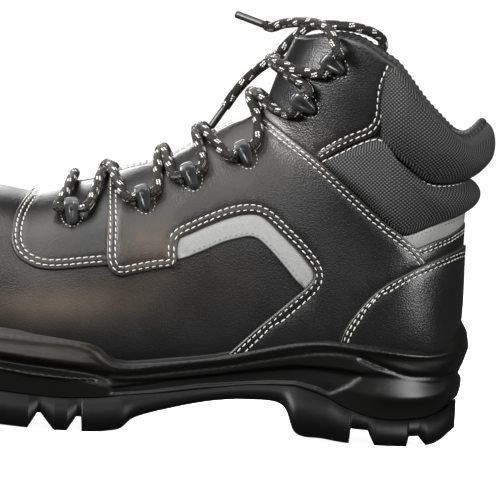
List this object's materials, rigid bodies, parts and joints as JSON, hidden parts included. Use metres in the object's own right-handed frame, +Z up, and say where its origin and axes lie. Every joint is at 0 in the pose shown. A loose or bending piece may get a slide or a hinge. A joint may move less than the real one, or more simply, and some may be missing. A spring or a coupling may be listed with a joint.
{
  "type": "safety shoe",
  "caption": "Left ankle-high safety boot: smooth leather upper with padded collar, reflective tapes and lace loops, on a moulded midsole and lugged outsole.",
  "frame": {"origin": "bottom centre of the boot's box without its free lace ends, on the floor plane", "axes": "+X from the heel to the toe, +Y to the outer side of the left foot, +Z up"},
  "size_m": [0.307, 0.107, 0.1854],
  "materials": {
    "leather": "smooth grain, satin",
    "mesh": "ribbed mesh, matte",
    "tape": "reflective tape",
    "rubber": "moulded, satin",
    "foam": "moulded foam skin, satin",
    "felt": "napped, matte",
    "nylon": "moulded, glossy",
    "cord": "braided with light flecks",
    "sheath": "satin tube"
  },
  "bodies": {
    "root": {"outsole": "rubber", "midsole": "foam", "insole": "felt", "upper": "leather", "tongue": "leather", "counter": "leather", "front_facing": "leather", "collar_roll_lower": "mesh", "collar_roll_upper": "mesh", "heel_tape": "tape", "heel_band": "leather", "facing_outer": "leather", "top_facing_outer": "leather", "side_tape_outer": "tape", "facing_inner": "leather", "top_facing_inner": "leather", "side_tape_inner": "tape", "lace_loop_outer_1": "nylon", "lace_loop_outer_2": "nylon", "lace_loop_outer_3": "nylon", "lace_loop_outer_4": "nylon", "lace_loop_outer_5": "nylon", "lace_loop_outer_6": "nylon", "lace_loop_inner_1": "nylon", "lace_loop_inner_2": "nylon", "lace_loop_inner_3": "nylon", "lace_loop_inner_4": "nylon", "lace_loop_inner_5": "nylon", "lace_loop_inner_6": "nylon", "lacing": "cord", "lace_end_outer": "cord", "aglet_outer": "sheath", "lace_end_inner": "cord", "aglet_inner": "sheath"}
  },
  "joints": []
}
